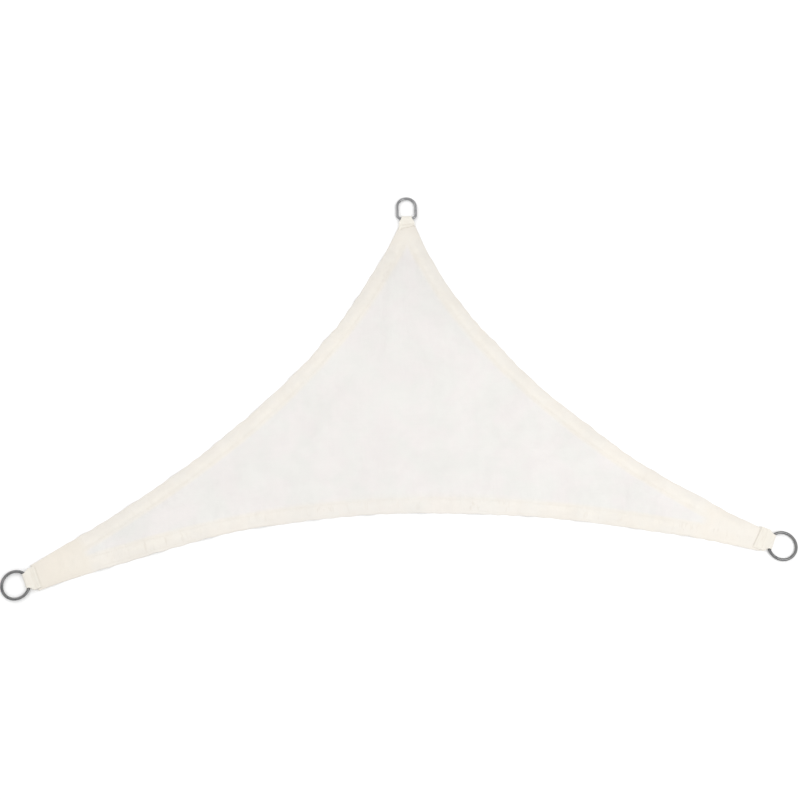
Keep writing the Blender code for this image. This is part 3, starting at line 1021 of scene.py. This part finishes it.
# A tone for painted shade at the webbing's cut end.
CUT_END_SHADE_TONE = (0.65, 0.57, 0.46, 1)
TWILL_ACROSS = 0.0012
TWILL_ALONG = 0.0016
PICK_PITCH = 0.0011

web = Finish("webbing", {"Roughness": 0.62, "Sheen Weight": 0.22, "Sheen Roughness": 0.4,
                         "Specular IOR Level": 0.4})
side, along = web.axes(web.node("UVMap", {"uv_map": "strip"}))
twill = (side * (2 * pi / TWILL_ACROSS) + along * (2 * pi / TWILL_ALONG)).sine()
picks = (along * (2 * pi / PICK_PITCH)).sine()
web_cloud = web.noise(web.places((1, 1, 1)), 55.0, detail=3.0).between(0.3, 0.7)
# Painted shade over the last millimetres before the webbing's cut end.
cut_end_shade = 1 - web.attribute("to_cut").between(0.0002, 0.0042)
# Painted shade inside the fold round the bar.
fold_shade = 1 - along.size().between(0.0, 0.010)
web_tone = web.blend(web_cloud, WEB_PALE, WEB_DEEP)
web_tone = web.blend(fold_shade * 0.20, web_tone, FOLD_SHADE_TONE)
web_tone = web.blend(cut_end_shade * 0.10, web_tone, CUT_END_SHADE_TONE)
web_tone = web.tint(web_tone, twill * 0.015 + 1.0)
web_bump = web.bump(twill + picks * 0.5, 0.00018, 0.6)
web_finish = web.feed(Base_Color=web_tone, Normal=web_bump)
for tab in tabs.values():
    tab.data.materials.append(web_finish)
print("webbing finish: %d nodes" % len(web.tree.nodes))

# %% [markdown]
# ## Tab stitching
# The tab is sewn through cloth and webbing with a box and a cross, and its cut end is held by a
# dense zigzag. The tab's own sizes say where its upper face is, so no ray has to find it.

# %% Lay beads on a tab
TAB_PITCH = 0.0030
BEAD_SHARE = 0.8
BEAD_OVER = 1.15
BEAD_SUNK = 0.03


def on_tab(corner, inward, side):
    """A place on the upper face of a tab's top leg, and the way up there."""
    top_share = (inward - CLOSE_RUN) / (corner.leg - CLOSE_RUN)
    thin, sunk = pressed(corner.fitting.web / 2 - abs(side), corner.leg - inward)
    high = LEG_HIGH + ((1 - BEAD_SUNK) * thin - 0.5) * WEB_THICK - sunk
    place = tab_spot(corner, inward, side, high, top_share)
    above = tab_spot(corner, inward, side, high + 0.001, top_share)
    return SETTING @ place, (above - place).normalized()


def tab_row(corner, start, end, pitch):
    """A row of beads on a tab, from one (inward, side) to another."""
    start, end = Vector(start), Vector(end)
    count = max(1, round((end - start).length / pitch))
    beads = []
    for step in range(count):
        first, normal = on_tab(corner, *start.lerp(end, step / count))
        last, _ = on_tab(corner, *start.lerp(end, (step + BEAD_SHARE) / count))
        along = last - first
        beads.append(Bead((first + last) / 2, along, normal, along.length * BEAD_OVER))
    return beads


print("beads on a tab are %.1f mm apart" % (1000 * TAB_PITCH))

# %% Sew the tabs
BOX_NEAR = 0.0178
BOX_SHORT = 0.0070
BOX_MARGIN = 0.0042
ZIGZAG_PITCH = 0.0013
ZIGZAG_REACH = 0.0022
ZIGZAG_SIDE = 0.001
ZIGZAG_SHORT = 0.0030

tab_stitches = {}
for corner in CORNERS:
    beads = []
    box_side = corner.fitting.web / 2 - BOX_MARGIN
    box_far = corner.leg - BOX_SHORT
    near_left, near_right = (BOX_NEAR, -box_side), (BOX_NEAR, box_side)
    far_left, far_right = (box_far, -box_side), (box_far, box_side)
    for start, end in ((near_left, near_right), (near_right, far_right), (far_right, far_left),
                       (far_left, near_left), (near_left, far_right), (near_right, far_left)):
        beads += tab_row(corner, start, end, TAB_PITCH)
    turns = np.arange(-box_side - ZIGZAG_SIDE, box_side + ZIGZAG_SIDE, ZIGZAG_PITCH)
    middle = corner.leg - ZIGZAG_SHORT
    for number, (start, end) in enumerate(zip(turns, turns[1:])):
        swing = ZIGZAG_REACH if number % 2 else -ZIGZAG_REACH
        beads += tab_row(corner, (middle - swing, start), (middle + swing, end), 2 * ZIGZAG_REACH)
    tab_stitches[corner.name] = sewn(beads, "tab_stitches_" + corner.name, thread_finish)
    print("tab %s: %d stitches" % (corner.name, len(beads)))

# %% [markdown]
# ## D-rings
# A D-ring is a length of round steel wire, bent to a straight bar and one round end, and welded
# shut in the middle of the bar. The model is made the same way: a circle, the section of the wire,
# is pulled along half the bar, spun round the first tight corner, the large arc and the second
# corner, and pulled back to where it began. The narrow ring also has two straight sides. A torus
# would be quicker, but it has no bar.

# %% Draw and bend a wire
def ring_setting(corner):
    """Turns a ring that points along X into its place in a corner's tab, with its far end low."""
    shape = ring_shape(corner.fitting)
    _, inwards, port = corner_axes(corner)
    bar = corner_point(corner, 0.0, 0.0, BAR_HIGH)
    drop = asin((bar.z - WIRE / 2) / (shape.middle + shape.radius))
    turn = Matrix(((-inwards[0], -inwards[1], 0), (port[0], port[1], 0), (0, 0, 1))).transposed()
    turn = turn @ Matrix.Rotation(drop, 3, "Y")
    return SETTING @ Matrix.Translation(bar) @ turn.to_4x4()


def pull(form, edges, way):
    """Draws the wire straight on from its last section."""
    made = bmesh.ops.extrude_edge_only(form, edges=edges)["geom"]
    verts = [part for part in made if isinstance(part, bmesh.types.BMVert)]
    bmesh.ops.translate(form, verts=verts, vec=way)
    return [part for part in made if isinstance(part, bmesh.types.BMEdge)
            and all(vert in verts for vert in part.verts)]


def bend(form, edges, middle, angle, steps):
    """Spins the wire's last section round a middle."""
    verts = list(dict.fromkeys(vert for edge in edges for vert in edge.verts))
    made = bmesh.ops.spin(form, geom=verts + edges, cent=middle, axis=(0, 0, 1), dvec=(0, 0, 0),
                          angle=angle, steps=steps, use_merge=False, use_duplicate=False)
    return [part for part in made["geom_last"] if isinstance(part, bmesh.types.BMEdge)]


print("wire: %.1f mm" % (1000 * WIRE))

# %% Make the rings
WIRE_SIDES = 24
CORNER_STEPS = 12
ARC_STEPS = 72


def make_ring(corner):
    """One ring, from half its bar right round to the other half."""
    shape = ring_shape(corner.fitting)
    form = bmesh.new()
    section = bmesh.ops.create_circle(form, segments=WIRE_SIDES, radius=WIRE / 2,
                                      matrix=Matrix.Rotation(radians(90), 4, "X"))
    edges = list(dict.fromkeys(edge for vert in section["verts"] for edge in vert.link_edges))
    edges = pull(form, edges, (0, shape.bar_half, 0))
    edges = bend(form, edges, (RING_CORNER, shape.bar_half, 0), shape.meet - pi, CORNER_STEPS)
    straight = shape.middle - RING_CORNER if shape.middle > shape.radius else 0
    if straight:
        edges = pull(form, edges, (straight, 0, 0))
    edges = bend(form, edges, (shape.middle, 0, 0), -2 * shape.meet, ARC_STEPS)
    if straight:
        edges = pull(form, edges, (-straight, 0, 0))
    edges = bend(form, edges, (RING_CORNER, -shape.bar_half, 0), shape.meet - pi, CORNER_STEPS)
    pull(form, edges, (0, shape.bar_half, 0))
    bmesh.ops.remove_doubles(form, verts=form.verts, dist=0.00002)
    bmesh.ops.recalc_face_normals(form, faces=form.faces)
    bmesh.ops.transform(form, matrix=ring_setting(corner), verts=form.verts)
    open_edges = sum(edge.is_boundary for edge in form.edges)
    ring = piece_from(form, "wire_" + corner.name)
    keep_measure(ring, "pale", [float(corner.fitting is NARROW)] * len(ring.data.vertices))
    print("ring %s: %d faces, %d open edges" % (corner.name, len(ring.data.polygons), open_edges))
    return ring


rings = {corner.name: make_ring(corner) for corner in CORNERS}

# %% [markdown]
# ## Steel
# The rings are plain steel wire, drawn through a die and left grey. Drawing leaves faint marks, and
# damp air dulls the surface unevenly, with a few darker spots. The narrow ring is paler.

# %% Mix the steel
STEEL_DEEP = (0.150, 0.152, 0.156, 1)
STEEL_DULL = (0.215, 0.213, 0.210, 1)
STEEL_SPOTS = (0.10, 0.09, 0.08, 1)
STEEL_PALE = (0.42, 0.42, 0.43, 1)

steel = Finish("ring_steel", {"Metallic": 1.0})
steel_even = steel.places((1, 1, 1))
dull = steel.noise(steel_even, 90.0, detail=4.0, roughness=0.6)
dark_spots = steel.noise(steel_even, 420.0, detail=2.0).between(0.60, 0.74)
steel_tone = steel.blend(dull.between(0.3, 0.7), STEEL_DEEP, STEEL_DULL)
steel_tone = steel.blend(dark_spots * 0.5, steel_tone, STEEL_SPOTS)
steel_tone = steel.blend(steel.attribute("pale") * 0.5, steel_tone, STEEL_PALE)
steel_rough = dull.between(0.3, 0.7, 0.24, 0.42)
marks = steel.noise(steel_even, 1500.0, detail=2.0)
steel_finish = steel.feed(Base_Color=steel_tone, Roughness=steel_rough,
                          Normal=steel.bump(marks, 0.00005, 0.3))
for ring in rings.values():
    ring.data.materials.append(steel_finish)
print("steel finish: %d nodes" % len(steel.tree.nodes))

# %% [markdown]
# ## Put the pieces on the frame
# Each finer piece stands for the bare solid at its place, its sewing goes with it, and all ride on
# the same body. Nothing here turns on its own: a ring swings only by bending its webbing, so it
# stays as it lies.

# %% Ride and replace
for piece in (sail, hem_stitches):
    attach(piece, "root")
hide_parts("sail_cloth")
for corner in CORNERS:
    tab, sewing, ring = tabs[corner.name], tab_stitches[corner.name], rings[corner.name]
    for piece in (tab, sewing):
        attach(piece, "root")
    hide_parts("tab_" + corner.name)
    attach(ring, "root")
    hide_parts("ring_" + corner.name)
print("dressed corners:", ", ".join(tabs))
